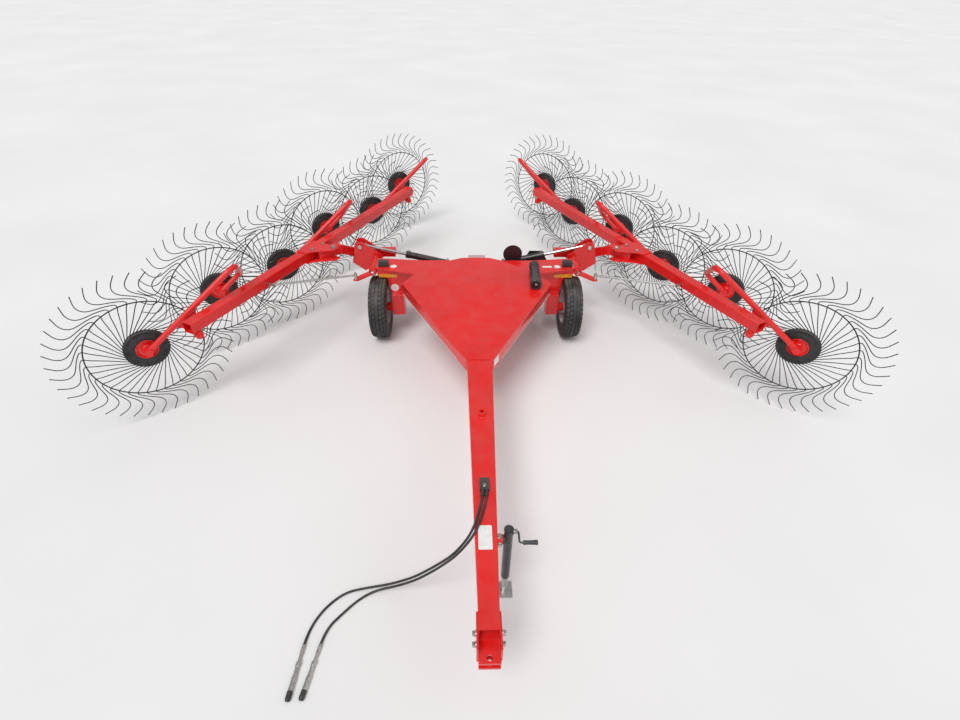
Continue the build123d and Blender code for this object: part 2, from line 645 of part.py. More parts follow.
def hose(points):
    radii = arc_radii(points)
    line = FilletPolyline(*points, radius=radii)
    solid = sweep(Plane(origin=line @ 0, z_dir=line % 0) * Circle(HOSE_R), path=line)
    print("hose length", round(line.length), "smallest arc", round(min(radii)),
          "volume / length x section", round(solid.volume / (line.length * pi * HOSE_R ** 2), 4))
    return solid


# Quick coupler with its ferrule and dust cap: radius at each end of a length, length
COUPLER = [(11, 11, 12), (9.8, 9.8, 4), (11, 11, 12), (9.8, 9.8, 4), (11, 11, 28), (8.5, 8.5, 40),
           (15.5, 15.5, 24), (15.5, 12.8, 4), (12.8, 12, 26), (12, 12.8, 26), (12.8, 15.5, 4),
           (15.5, 15.5, 30), (14, 14, 6), (15.5, 15.5, 38), (16, 16, 40), (16, 12, 10)]


def coupler(points):
    at = Vector(*points[-1])
    run = (at - Vector(*points[-2])).normalized()
    run = Vector(run.X, run.Y, 0).normalized()
    outline = [(0, 0)]
    length = 0
    for start, end, step in COUPLER:
        if outline[-1] != (start, length):
            outline.append((start, length))
        length += step
        outline.append((end, length))
    outline.append((0, length))
    plane = Plane(origin=at + run * 0.1, x_dir=UP, z_dir=UP.cross(run))
    profile = make_face(Polyline([plane.from_local_coords(Vector(r, s, 0)) for r, s in outline], close=True))
    return revolve(profile, Axis(at, run), 360)


add("cross_frame", cross_frame())
add("hood", hood())
add("drawbar", drawbar())
add("hitch_clevis", hitch_clevis())
add("jack_body", jack_body())
add("jack_leg", jack_leg())
add("marker_lamps", *marker_lamps())
add("amber_reflectors", *amber_reflectors())
add("rear_signs", speed_disc(), slow_sign())
add("manual_canister", manual_canister())
add("hose_outlet", hose_outlet())
add("hose_1", hose(HOSE_1))
add("hose_2", hose(HOSE_2))
add("hose_couplers", coupler(HOSE_1), coupler(HOSE_2))

# The whole without its hoses is centred between the clevis in front and the rearmost tine
CLEVIS_FRONT = made["hitch_clevis"][0].bounding_box().min.Y
REAR_EDGE = made["left_rake_wheel_" + str(2 * PAIRS)][0].bounding_box().max.Y
TO_FRAME = Pos(0, -(REAR_EDGE + CLEVIS_FRONT) / 2, 0)

os.makedirs("parts", exist_ok=True)
for name, solids in made.items():
    placed = [TO_FRAME * solid for solid in solids]
    export_step(placed[0] if len(placed) == 1 else Compound(children=placed), "parts/" + name + ".step")
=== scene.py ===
import bmesh
import bpy
import numpy as np
from math import pi, radians
from mathutils import Matrix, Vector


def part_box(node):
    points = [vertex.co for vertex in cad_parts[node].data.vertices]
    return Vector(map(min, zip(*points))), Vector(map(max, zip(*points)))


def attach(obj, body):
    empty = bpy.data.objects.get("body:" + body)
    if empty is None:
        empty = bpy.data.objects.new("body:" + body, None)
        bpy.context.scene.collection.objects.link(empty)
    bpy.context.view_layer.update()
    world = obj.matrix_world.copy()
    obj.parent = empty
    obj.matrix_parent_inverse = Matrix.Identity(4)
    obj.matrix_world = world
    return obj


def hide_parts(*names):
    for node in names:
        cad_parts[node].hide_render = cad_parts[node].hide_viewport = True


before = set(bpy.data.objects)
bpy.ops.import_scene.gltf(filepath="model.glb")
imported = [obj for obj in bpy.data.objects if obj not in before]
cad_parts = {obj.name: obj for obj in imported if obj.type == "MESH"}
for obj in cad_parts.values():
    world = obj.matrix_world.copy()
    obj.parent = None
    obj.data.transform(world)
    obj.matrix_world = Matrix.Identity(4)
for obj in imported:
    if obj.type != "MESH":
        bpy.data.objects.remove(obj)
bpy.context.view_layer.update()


# Camera. It looks down on the machine from a stand in front of the drawbar, 3.4 m up, with a wide lens.
# Lengths along Y are measured from the transport axle, as in the part's source.
STAND_X, STAND_Y, STAND_Z = -0.131, -4.857, 3.412          # metres from the axle's middle
HEADING, TILT, ROLL = -2.27, 51.8, 1.21          # degrees
axle_y = (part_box("left_tyre")[0].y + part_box("left_tyre")[1].y) / 2
camera = bpy.data.objects.new("camera", bpy.data.cameras.new("camera"))
bpy.context.scene.collection.objects.link(camera)
camera.data.sensor_width = 36
camera.data.lens = 19.56
camera.data.clip_end = 800
camera.matrix_world = (Matrix.Translation((STAND_X, axle_y + STAND_Y, STAND_Z))
                       @ Matrix.Rotation(radians(HEADING), 4, "Z")
                       @ Matrix.Rotation(radians(TILT), 4, "X")
                       @ Matrix.Rotation(radians(ROLL), 4, "Z"))
bpy.context.scene.camera = camera


# Hydraulic hoses. Two rubber hoses leave the outlet on the drawbar side by side, fall over its left edge
# and lie on the ground. They are free cords: nothing holds them after the outlet.
HOSE_THICK = 0.016


def wire(tree, kind, sockets, **settings):
    """New shader node: settings are its own options, and each socket gets a value or another node's
    output."""
    made = tree.nodes.new("ShaderNode" + kind)
    for key, value in settings.items():
        setattr(made, key, value)
    for key, value in sockets.items():
        if isinstance(value, bpy.types.NodeSocket):
            tree.links.new(value, made.inputs[key])
        else:
            made.inputs[key].default_value = value
    return made


def new_finish(name):
    """Empty node material with its tree, its shader and the object's own coordinates."""
    made = bpy.data.materials.new(name)
    made.use_nodes = True
    tree = made.node_tree
    return made, tree, tree.nodes["Principled BSDF"], wire(tree, "TexCoord", {}).outputs["Object"]


def clouds(tree, at, scale, low, high, detail=4.0):
    """Noise of a size, spread from low to high."""
    noise = wire(tree, "TexNoise", {"Vector": at, "Scale": scale, "Detail": detail})
    return wire(tree, "MapRange", {"Value": noise.outputs["Fac"], "From Min": 0.35, "From Max": 0.65,
                                   "To Min": low, "To Max": high}).outputs["Result"]


def grain(tree, shader, at, scale, strength, depth):
    """Fine bump of a size on the shader's normal."""
    noise = wire(tree, "TexNoise", {"Vector": at, "Scale": scale, "Detail": 3.0})
    bump = wire(tree, "Bump", {"Height": noise.outputs["Fac"], "Strength": strength, "Distance": depth})
    tree.links.new(bump.outputs["Normal"], shader.inputs["Normal"])


def dusted(tree, at, colour, dust, share):
    """Colour with grit on the faces that look up: share of it, in patches."""
    up = wire(tree, "SeparateXYZ", {"Vector": wire(tree, "NewGeometry", {}).outputs["Normal"]}).outputs["Z"]
    level = wire(tree, "MapRange", {"Value": up, "From Min": 0.1, "From Max": 0.95}).outputs["Result"]
    patches = clouds(tree, at, 9.0, 0.0, share, 8.0)
    where = wire(tree, "Math", {0: level, 1: patches}, operation="MULTIPLY").outputs["Value"]
    return wire(tree, "MixRGB", {"Fac": where, "Color1": colour, "Color2": dust}).outputs["Color"]


def rubber(name, colour, rough, dust, scale=320.0):
    """Moulded rubber: a dull dark skin that bleaches in clouds, with grit on top and a fine grain."""
    made, tree, shader, at = new_finish(name)
    pale = tuple(2.2 * c + 0.012 for c in colour)
    skin = wire(tree, "MixRGB", {"Fac": clouds(tree, at, 6.0, 0.0, 0.6), "Color1": (*colour, 1),
                                 "Color2": (*pale, 1)}).outputs["Color"]
    tree.links.new(dusted(tree, at, skin, (0.20, 0.17, 0.14, 1), dust), shader.inputs["Base Color"])
    tree.links.new(clouds(tree, at, 30.0, rough - 0.1, rough + 0.12), shader.inputs["Roughness"])
    grain(tree, shader, at, scale, 0.35, 0.0008)
    return made


hose_rubber = rubber("hose_rubber", (0.012, 0.012, 0.013), rough=0.45, dust=0.25)


def hose(name, route, cad_node):
    """Round hose on a smooth line, with the route's points as its control points."""
    line = bpy.data.curves.new(name, "CURVE")
    line.dimensions = "3D"
    spline = line.splines.new("NURBS")
    spline.points.add(len(route) - 1)
    for point, (x, y, z) in zip(spline.points, route):
        point.co = (x, y + axle_y, z, 1)
    spline.order_u = 3
    spline.use_endpoint_u = True
    line.resolution_u = 8
    line.bevel_depth = HOSE_THICK / 2
    line.bevel_resolution = 3
    line.use_fill_caps = True
    made = bpy.data.objects.new(name, line)
    bpy.context.scene.collection.objects.link(made)
    line.materials.append(hose_rubber)
    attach(made, "chassis")
    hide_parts(cad_node)
    return made


HOSE_1 = [(-0.014, -2.758, 0.6842), (-0.020, -2.815, 0.680), (-0.040, -2.898, 0.674), (-0.066, -2.985, 0.668),
          (-0.108, -3.062, 0.640), (-0.195, -3.093, 0.520), (-0.276, -3.087, 0.420), (-0.362, -3.072, 0.310),
          (-0.467, -3.054, 0.190), (-0.619, -3.029, 0.070), (-0.769, -3.019, 0.012), (-0.921, -3.046, 0.009),
          (-1.023, -3.130, 0.009), (-1.085, -3.222, 0.009), (-1.119, -3.321, 0.009), (-1.124, -3.386, 0.016)]
HOSE_2 = [(0.014, -2.758, 0.6842), (0.008, -2.815, 0.680), (-0.014, -2.900, 0.674), (-0.044, -2.990, 0.669),
          (-0.084, -3.070, 0.655), (-0.176, -3.112, 0.540), (-0.258, -3.110, 0.436), (-0.347, -3.100, 0.324),
          (-0.457, -3.082, 0.200), (-0.590, -3.052, 0.078), (-0.721, -3.040, 0.014), (-0.830, -3.097, 0.009),
          (-0.924, -3.194, 0.009), (-1.008, -3.290, 0.009), (-1.023, -3.385, 0.016)]
hose_1 = hose("hose_left", HOSE_1, "hose_1")
hose_2 = hose("hose_right", HOSE_2, "hose_2")


# Quick couplers. Each hose ends in a turned steel coupler, zinc plated, whose far end is shut by a moulded
# black dust cap. They lie on the ground.
DOUBLES = 1e-6          # points nearer than this are one


def metal(name, colour, rough, streaks=0.12, scale=60.0):
    """Bare or plated metal: bright, with a little tarnish in clouds and uneven polish."""
    made, tree, shader, at = new_finish(name)
    dull = tuple(0.55 * c for c in colour)
    tone = wire(tree, "MixRGB", {"Fac": clouds(tree, at, scale, 0.0, 0.7, 6.0), "Color1": (*colour, 1),
                                 "Color2": (*dull, 1)}).outputs["Color"]
    tree.links.new(tone, shader.inputs["Base Color"])
    tree.links.new(clouds(tree, at, scale * 2, rough, rough + streaks), shader.inputs["Roughness"])
    shader.inputs["Metallic"].default_value = 1
    grain(tree, shader, at, 500.0, 0.1, 0.0004)
    return made


def lathe(profile, centre, axis, steps=28):
    """Grid of a turned piece: each (radius, length) pair goes once round the axis from the centre."""
    profile = np.array(profile, float)
    axis = np.array(axis, float) / np.linalg.norm(axis)
    side = np.cross(axis, [0, 0, 1] if abs(axis[2]) < 0.9 else [1, 0, 0])
    side = side / np.linalg.norm(side)
    turn = np.linspace(0, 2 * pi, steps, endpoint=False)[:, None]
    ring = np.cos(turn) * side + np.sin(turn) * np.cross(axis, side)
    return np.array(centre, float) + profile[:, 1, None, None] * axis + profile[:, 0, None, None] * ring


def shell(grid, loop=False):
    """Points and faces of grids whose rows run along the piece and whose columns close round it. Leading
    axes are copies. A loop's last row joins its first, and otherwise both ends are capped."""
    rows, cols = grid.shape[-3:-1]
    copies = grid.reshape(-1, rows * cols, 3)
    index = np.arange(rows * cols).reshape(rows, cols)
    here, after = (index, np.roll(index, -1, 0)) if loop else (index[:-1], index[1:])
    quads = np.stack([here, np.roll(here, -1, 1), np.roll(after, -1, 1), after], -1).reshape(-1, 4)
    starts = (np.arange(len(copies)) * rows * cols)[:, None, None]
    faces = [(quads + starts).reshape(-1, 4)]
    if not loop:
        faces.append((np.stack([index[0][::-1], index[-1]]) + starts).reshape(-1, cols))
    return copies.reshape(-1, 3), faces


def piece(name, body, material, slot, *shells, crease=35):
    """One object of several shells, its doubled points merged and its faces turned outwards. Its slot
    argument is not used."""
    starts = np.cumsum([0] + [len(points) for points, faces in shells])
    points = np.concatenate([points for points, faces in shells])
    faces = [face for start, (_, groups) in zip(starts, shells) for group in groups
             for face in (group + start).tolist()]
    mesh = bpy.data.meshes.new(name)
    mesh.from_pydata(points.tolist(), [], faces)
    rough = bmesh.new()
    rough.from_mesh(mesh)
    bmesh.ops.remove_doubles(rough, verts=rough.verts, dist=DOUBLES)
    bmesh.ops.recalc_face_normals(rough, faces=rough.faces)
    rough.to_mesh(mesh)
    rough.free()
    mesh.shade_smooth()
    mesh.set_sharp_from_angle(angle=radians(crease))
    mesh.materials.append(material)
    made = bpy.data.objects.new(name, mesh)
    bpy.context.scene.collection.objects.link(made)
    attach(made, body)
    return made


plated_steel = metal("plated_steel", (0.62, 0.61, 0.58), rough=0.24)
cap_rubber = rubber("cap_rubber", (0.014, 0.014, 0.015), rough=0.5, dust=0.3)
CAP_AT = np.array([0, 0, 0.0003])
DUST_CAP = [(0.0, 0.2565), (0.0160, 0.2565), (0.0163, 0.259), (0.0163, 0.276), (0.0161, 0.278),
            (0.0161, 0.281), (0.0163, 0.283), (0.0163, 0.2985), (0.0124, 0.3088), (0.0, 0.3088)]
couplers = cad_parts["hose_couplers"]
couplers.data.materials[0] = plated_steel

for line, route, length, name in ((hose_1, HOSE_1, 1.81, "cap_left"), (hose_2, HOSE_2, 1.72, "cap_right")):
    end, before = np.array(route[-1]), np.array(route[-2])
    run = (end - before) * [1, 1, 0]
    run = run / np.linalg.norm(run)
    cap = shell(lathe(DUST_CAP, end + [0, axle_y, 0] + CAP_AT, run))
    piece(name, "chassis", cap_rubber, "black_plastic", cap)


# Floor and light. A plain pale studio floor, a soft key light from high on the left behind the camera,
# a weaker one from the right, and an even white surround.
FLOOR_HALF = 150
floor_mesh = bpy.data.meshes.new("floor")
floor_mesh.from_pydata([(-FLOOR_HALF, -FLOOR_HALF, 0), (FLOOR_HALF, -FLOOR_HALF, 0),
                        (FLOOR_HALF, FLOOR_HALF, 0), (-FLOOR_HALF, FLOOR_HALF, 0)], [], [(0, 1, 2, 3)])
floor = bpy.data.objects.new("floor", floor_mesh)
bpy.context.scene.collection.objects.link(floor)
floor_finish, tree, shader, at = new_finish("floor")
tone = wire(tree, "MixRGB", {"Fac": clouds(tree, at, 0.4, 0.0, 1.0), "Color1": (0.80, 0.79, 0.78, 1),
                             "Color2": (0.84, 0.83, 0.82, 1)}).outputs["Color"]
tree.links.new(tone, shader.inputs["Base Color"])
shader.inputs["Roughness"].default_value = 0.95
shader.inputs["Specular IOR Level"].default_value = 0.1
floor_mesh.materials.append(floor_finish)

for name, strength, spread, lean, turn in (("key", 1.9, 30, 32, -28), ("fill", 0.5, 80, 48, 70)):
    lamp = bpy.data.objects.new(name, bpy.data.lights.new(name, "SUN"))
    bpy.context.scene.collection.objects.link(lamp)
    lamp.data.energy = strength
    lamp.data.angle = radians(spread)
    lamp.rotation_euler = (radians(lean), 0, radians(turn))
world = bpy.data.worlds.new("studio")
world.use_nodes = True
world.node_tree.nodes["Background"].inputs["Color"].default_value = (0.95, 0.97, 1.0, 1)
world.node_tree.nodes["Background"].inputs["Strength"].default_value = 0.45
bpy.context.scene.world = world
bpy.context.scene.view_settings.view_transform = "Standard"


# Painted steel. Beams, plates and covers are sprayed with gloss red enamel, the arms' tubes with a softer
# one, and the cylinders' barrels and the jack with black. Sharp edges are rounded and rubbed to primer in
# places, and level faces hold grit.
def enamel(name, colour, rough=0.16, dust=0.09, wear=0.55):
    """Sprayed enamel: faint clouds in its tone, orange peel, chips on edges, where the normal of a rounded
    corner leaves the face's own, and grit on what faces up."""
    made, tree, shader, at = new_finish(name)
    deep = tuple(0.86 * c for c in colour)
    tone = wire(tree, "MixRGB", {"Fac": clouds(tree, at, 3.0, 0.0, 0.7), "Color1": (*colour, 1),
                                 "Color2": (*deep, 1)}).outputs["Color"]
    corner = wire(tree, "Bevel", {"Radius": 0.003}, samples=4).outputs["Normal"]
    face = wire(tree, "NewGeometry", {}).outputs["Normal"]
    match = wire(tree, "VectorMath", {0: corner, 1: face}, operation="DOT_PRODUCT").outputs["Value"]
    edge = wire(tree, "MapRange", {"Value": match, "From Min": 0.95, "From Max": 0.80}).outputs["Result"]
    chips = clouds(tree, at, 90.0, -0.8, wear, 8.0)
    worn = wire(tree, "Math", {0: edge, 1: chips}, operation="MULTIPLY", use_clamp=True).outputs["Value"]
    primer = (0.16, 0.13, 0.12, 1)
    tone = wire(tree, "MixRGB", {"Fac": worn, "Color1": tone, "Color2": primer}).outputs["Color"]
    tree.links.new(dusted(tree, at, tone, (0.30, 0.24, 0.20, 1), dust), shader.inputs["Base Color"])
    tree.links.new(clouds(tree, at, 14.0, rough, rough + 0.14), shader.inputs["Roughness"])
    shader.inputs["Coat Weight"].default_value = 0.2
    shader.inputs["Coat Roughness"].default_value = 0.12
    grain(tree, shader, at, 260.0, 0.08, 0.0006)
    return made


def dress(name, material, bevel=0.0):
    """Gives a carried-over solid its finish, and rounds its sharp edges."""
    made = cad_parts[name]
    made.data.materials[0] = material
    if bevel:
        joined = made.modifiers.new("joined", "WELD")
        joined.merge_threshold = 1e-5
        edge = made.modifiers.new("edges", "BEVEL")
        edge.width = bevel
        edge.segments = 2
        edge.limit_method = "ANGLE"
        edge.angle_limit = radians(40)
        edge.harden_normals = True


RED = (0.78, 0.012, 0.010)
red = enamel("red_enamel", RED)
red_tube = enamel("red_tube_enamel", RED, rough=0.36)
black = enamel("black_enamel", (0.012, 0.012, 0.013), rough=0.28, dust=0.3, wear=0.3)
zinc = metal("zinc", (0.60, 0.60, 0.57), rough=0.26)
chrome = metal("chrome", (0.80, 0.81, 0.82), rough=0.05, streaks=0.05, scale=25.0)
for name in ("cross_frame", "hood", "drawbar"):
    dress(name, red, bevel=0.0025)
dress("hitch_clevis", red)
for name, material in (("jack_body", black), ("jack_leg", zinc)):
    dress(name, material)
for side in ("left", "right"):
    for name in ("wing_beam", "swing_bracket", "centre_plates"):
        dress(f"{side}_{name}", red, bevel=0.002)
    for number in (1, 2, 3):
        dress(f"{side}_tandem_arm_{number}", red_tube)
    for number in range(1, 7):
        dress(f"{side}_wheel_hub_{number}", red)
    dress(f"{side}_tie_rod", zinc)
    dress(f"{side}_cylinder_barrel", black)
    dress(f"{side}_cylinder_rod", chrome)


# Finger wheels. Forty spring-wire tines stand in a moulded rubber ring, lean off its radius, bend sharply
# just past a round hoop and end in a hook. The hoop is tied to the tines' front side.
TINES = 40
TINE_R = 0.0040
HOOP_R = 0.443
HOOP_WIRE = 0.0055
TINE_LINE = np.array([(0.168, 39.3), (0.300, 9.4), (0.432, 0.3), (0.452, -0.2), (0.464, 0.9), (0.472, 3.2),
                      (0.489, 9.2), (0.508, 15.7), (0.528, 20.1), (0.552, 22.6), (0.585, 23.6), (0.625, 22.7),
                      (0.664, 20.4), (0.697, 18.6)])          # radius, degrees from the bend at the hoop
FIRST_TINE = -0.6          # degrees, so that one tip stands straight down
WHEEL_AZ = {"left": radians(36), "right": radians(144)}
UP = np.array([0, 0, 1.0])
wire_black = rubber("wire_black", (0.008, 0.008, 0.009), rough=0.35, dust=0.0, scale=90.0)
ring_rubber = rubber("ring_rubber", (0.013, 0.013, 0.014), rough=0.62, dust=0.35, scale=220.0)


def wheel_axes(side):
    """Unit vectors along a wheel, up and out of its front, and the way its tines lean."""
    lean = 1 if side == "left" else -1
    along = lean * np.array([np.cos(WHEEL_AZ[side]), np.sin(WHEEL_AZ[side]), 0])
    return along, UP, np.cross(along, UP), lean


def middle(node):
    """Middle of a node's box."""
    low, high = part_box(node)
    return np.array((low + high) / 2)


def cut_corners(line):
    """Line with each corner cut off: every run keeps its middle half, and the two ends stay."""
    near = 0.75 * line[:-1] + 0.25 * line[1:]
    far = 0.25 * line[:-1] + 0.75 * line[1:]
    kept = np.stack([near, far], 1).reshape(-1, line.shape[1])
    return np.concatenate([line[:1], kept[1:-1], line[-1:]])


def tines(centre, side):
    """Copies of one bent wire round a wheel: a five-sided section on the tine's line, whose corner at
    angle a lies at radius x (cos a, in the wheel's plane and across the line; sin a, out of its face)."""
    along, up, out, lean = wheel_axes(side)
    line = np.concatenate([TINE_LINE[:1], cut_corners(TINE_LINE[1:])])
    bends = FIRST_TINE + line[:, 1]
    turn = np.radians(np.arange(TINES)[:, None] * 360 / TINES + lean * bends + (180 if lean < 0 else 0))
    flat = np.stack([line[:, 0] * np.cos(turn), line[:, 0] * np.sin(turn)], -1)
    run = np.gradient(flat, axis=1)
    run = run / np.linalg.norm(run, axis=-1, keepdims=True)
    across = np.stack([-run[..., 1], run[..., 0]], -1)
    corner = np.linspace(0, 2 * pi, 5, endpoint=False)
    plane = flat[:, :, None] + TINE_R * np.cos(corner)[:, None] * across[:, :, None]
    depth = TINE_R * np.sin(corner)
    return centre + plane[..., :1] * along + plane[..., 1:] * up + depth[:, None] * out


def ring(profile, centre, axis, steps):
    """Closed ring: the profile's (radius, length) pairs are its section."""
    return shell(lathe(profile, centre, axis, steps), loop=True)


turns = np.linspace(0, 2 * pi, 8, endpoint=False)
HOOP = np.stack([HOOP_R + HOOP_WIRE * np.cos(turns), TINE_R + HOOP_WIRE + HOOP_WIRE * np.sin(turns)], -1)
RUBBER = [(0.0885, -0.018), (0.0885, 0.018), (0.096, 0.022), (0.128, 0.022), (0.134, 0.0185),
          (0.152, 0.0185), (0.158, 0.0215), (0.168, 0.0205), (0.175, 0.013), (0.175, -0.013),
          (0.168, -0.0205), (0.158, -0.0215), (0.152, -0.0185), (0.134, -0.0185), (0.128, -0.022),
          (0.096, -0.022)]

for side in ("left", "right"):
    for number in range(1, 7):
        body = f"{side}_rake_wheel_{number}"
        centre = middle(f"{side}_wheel_hub_{number}")
        face = wheel_axes(side)[2]
        wires = piece(f"{side}_tines_{number}", body, wire_black, "black_paint", shell(tines(centre, side)),
                      ring(HOOP, centre, face, 80), crease=60)
        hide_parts(body)
        rubber_ring = ring(RUBBER, centre, face, 72)
        piece(f"{side}_rubber_ring_{number}", body, ring_rubber, "black_rubber", rubber_ring)


# Ring bolts. Each rubber ring is clamped to its hub by ten black bolts, whose heads and washers show on both
# of its faces.
RING_BOLTS = 10
BOLT_CIRCLE = 0.143
BOLT_SEAT = 0.0195


def bolt(at, axis, flats):
    """Hexagon head with a chamfered top on a round washer, as grids of turned pieces."""
    corner = flats / 2 / np.cos(pi / 6)
    thick = 0.16 * flats
    high = thick + 0.62 * flats
    washer = lathe([(0, 0), (1.2 * corner, 0), (1.2 * corner, thick), (0, thick)], at, axis, 20)
    profile = [(0, thick), (corner, thick), (corner, high - 0.1 * flats), (0.84 * corner, high), (0, high)]
    head = lathe(profile, at, axis, 6)
    return [shell(washer), shell(head)]


def around(centre, axis, radius, count):
    """Points spread evenly round a circle."""
    return lathe([(radius, 0)], centre, axis, count)[0]


for side in ("left", "right"):
    for number in range(1, 7):
        centre = middle(f"{side}_wheel_hub_{number}")
        face = wheel_axes(side)[2]
        heads = []
        for way in (1, -1):
            for at in around(centre + way * BOLT_SEAT * face, face, BOLT_CIRCLE, RING_BOLTS):
                heads += bolt(at, way * face, 0.011)
        piece(f"{side}_ring_bolts_{number}", f"{side}_rake_wheel_{number}", black, "black_paint", *heads,
              crease=25)


# Transport tyres. Two road tyres on silver steel rims: rounded walls, four grooves round the tread, and
# sipes across it, all of one black rubber. Each rim holds five wheel nuts and a hub cap.
TYRE_R = 0.335
tyre_rubber = rubber("tyre_rubber", (0.014, 0.014, 0.015), rough=0.6, dust=0.5, scale=180.0)
rim_silver = enamel("rim_silver", (0.52, 0.53, 0.54), rough=0.3, dust=0.35, wear=0.35)
WALL = [(0.1785, 0.0800), (0.1830, 0.0840), (0.1900, 0.0845), (0.1960, 0.0880), (0.2350, 0.0915),
        (0.2750, 0.0923), (0.2900, 0.0915), (0.3060, 0.0890), (0.3180, 0.0850)]
tread = np.array([0.078, 0.071, 0.070, 0.056, 0.0555, 0.0495, 0.049, 0.036, 0.023, 0.0225, 0.0165, 0.016,
                  0.0])
crown = np.concatenate([tread, -tread[-2::-1]])
TREAD_STEPS = 240


def tyre_grid(centre, axis):
    """Grid round a tyre. Its tread radius is that of a crown, r = R - 1.4 w^2, less 9 mm in the grooves
    round it, where |w| is 16 to 23 or 49 to 56 mm, and less 7 mm in sipes that lean with w."""
    wall = np.array(WALL)
    width = np.concatenate([wall[:, 1], crown, -wall[::-1, 1]])
    radius = np.concatenate([wall[:, 0], TYRE_R - 1.4 * crown ** 2, wall[::-1, 0]])
    turn = np.linspace(0, 2 * pi, TREAD_STEPS, endpoint=False)
    over = np.abs(width)[:, None]
    groove = ((over > 0.0160) & (over < 0.0230)) | ((over > 0.0492) & (over < 0.0558))
    phase = (turn[None] * 40 / (2 * pi) + 12 * width[:, None]) % 1
    sipe = (phase < 0.24) & (over > 0.0225) & (over < 0.0785)
    depth = np.where(groove, 0.009, np.where(sipe, 0.007, 0.0))
    depth[:len(wall)] = 0
    depth[-len(wall):] = 0
    side = np.array([0, 1.0, 0])
    ring = np.cos(turn)[:, None] * side + np.sin(turn)[:, None] * np.cross(axis, side)
    return centre + width[:, None, None] * axis + (radius[:, None] - depth)[..., None] * ring


for side, out in (("left", -1.0), ("right", 1.0)):
    body = f"{side}_transport_wheel"
    centre = middle(f"{side}_tyre")
    axis = np.array([out, 0, 0])
    made = piece(f"{side}_road_tyre", body, tyre_rubber, "tyre_rubber",
                 shell(tyre_grid(centre, axis), loop=True), crease=30)
    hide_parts(f"{side}_tyre")
    dress(f"{side}_rim", rim_silver, bevel=0.002)
    nuts = []
    for at in around(centre + 0.010 * axis, axis, 0.085, 5):
        nuts += bolt(at, axis, 0.021)
    piece(f"{side}_wheel_nuts", body, zinc, "zinc_steel", *nuts, crease=25)
    cap = [(0.0, 0.058), (0.012, 0.0575), (0.026, 0.054), (0.034, 0.048), (0.038, 0.040),
           (0.0385, 0.0378), (0.0, 0.0378)]
    piece(f"{side}_hub_cap", body, zinc, "zinc_steel", shell(lathe(cap, centre, axis, 32)))


# Weld beads. Rippled fillets of filler run round every foot, bearing, sleeve and socket, and are sprayed over
# with the red of the steel round them.
BAR_SLOPE = 0.0707
BEAM_RUN = np.array([np.cos(radians(63.5)), np.sin(radians(63.5)), 0])
BEAM_SIDE = np.array([BEAM_RUN[1], -BEAM_RUN[0], 0])
PAIR_PITCH = 1.68
PIVOT_X, PIVOT_Y = -2.370, -1.197          # the left beam's first pivot, from the transport axle
SHAFT_Z = 0.839
HUB_Z = 0.700
PAIR_HALF = 0.390
FRONT_PLANE, REAR_PLANE = 0.173, 0.813          # how far the wheels' planes lie behind the pivot
SOCKET_DEEP, SOCKET_R = 0.036, 0.0262
HINGE_X, HINGE_Z = -1.075, 0.755
left_along, _, left_face, _ = wheel_axes("left")


def at_axle(x, y, z):
    """Point whose Y is measured from the transport axle."""
    return np.array([x, y + axle_y, z])


def on_pair(k, along, depth, z):
    """Point of the left wing's tandem pair k: along its wheels' planes, behind its pivot, and its height."""
    pivot = at_axle(PIVOT_X, PIVOT_Y, z) + BEAM_RUN * (k * PAIR_PITCH)
    return pivot + left_along * along - left_face * depth


def on_beam(along, side, z):
    """Point at a length along the left beam from its first pivot, and beside it towards the chassis."""
    return at_axle(PIVOT_X, PIVOT_Y, z) + BEAM_RUN * along + BEAM_SIDE * side


def on_side(points, side):
    """Points of the left half, or their mirror images on the right."""
    return np.array(points, float) * ([1, 1, 1] if side == "left" else [-1, 1, 1])


def tube(line, radius, steps=8):
    """Grid of a round bar along a line of points: each ring lies across the run there, its corner at
    angle a at radius x (cos a sideways, sin a upwards)."""
    line = np.array(line, float)
    run = np.gradient(line, axis=0)
    run = run / np.linalg.norm(run, axis=-1, keepdims=True)
    side = np.cross(run, [0.03, 0.05, 1.0])
    side = side / np.linalg.norm(side, axis=-1, keepdims=True)
    turn = np.linspace(0, 2 * pi, steps, endpoint=False)[:, None]
    rings = np.cos(turn) * side[:, None] + np.sin(turn) * np.cross(side, run)[:, None]
    return line[:, None] + np.broadcast_to(radius, len(line))[:, None, None] * rings


def bead(points, size=0.0045):
    """Weld bead along a line of points: a thin bar whose radius ripples along it."""
    points = np.array(points, float)
    lengths = np.concatenate([[0], np.cumsum(np.linalg.norm(np.diff(points, axis=0), axis=1))])
    at = np.linspace(0, lengths[-1], max(4, int(lengths[-1] / 0.004)))
    line = np.stack([np.interp(at, lengths, points[:, i]) for i in range(3)], -1)
    return shell(tube(line, size * (1 + 0.14 * np.sin(at * 950)), 6))


def ring_bead(centre, axis, radius, size=0.0045):
    """Weld bead round a circle."""
    circle = lathe([(radius, 0)], centre, axis, 40)[0]
    return bead(np.concatenate([circle, circle[:1]]), size)


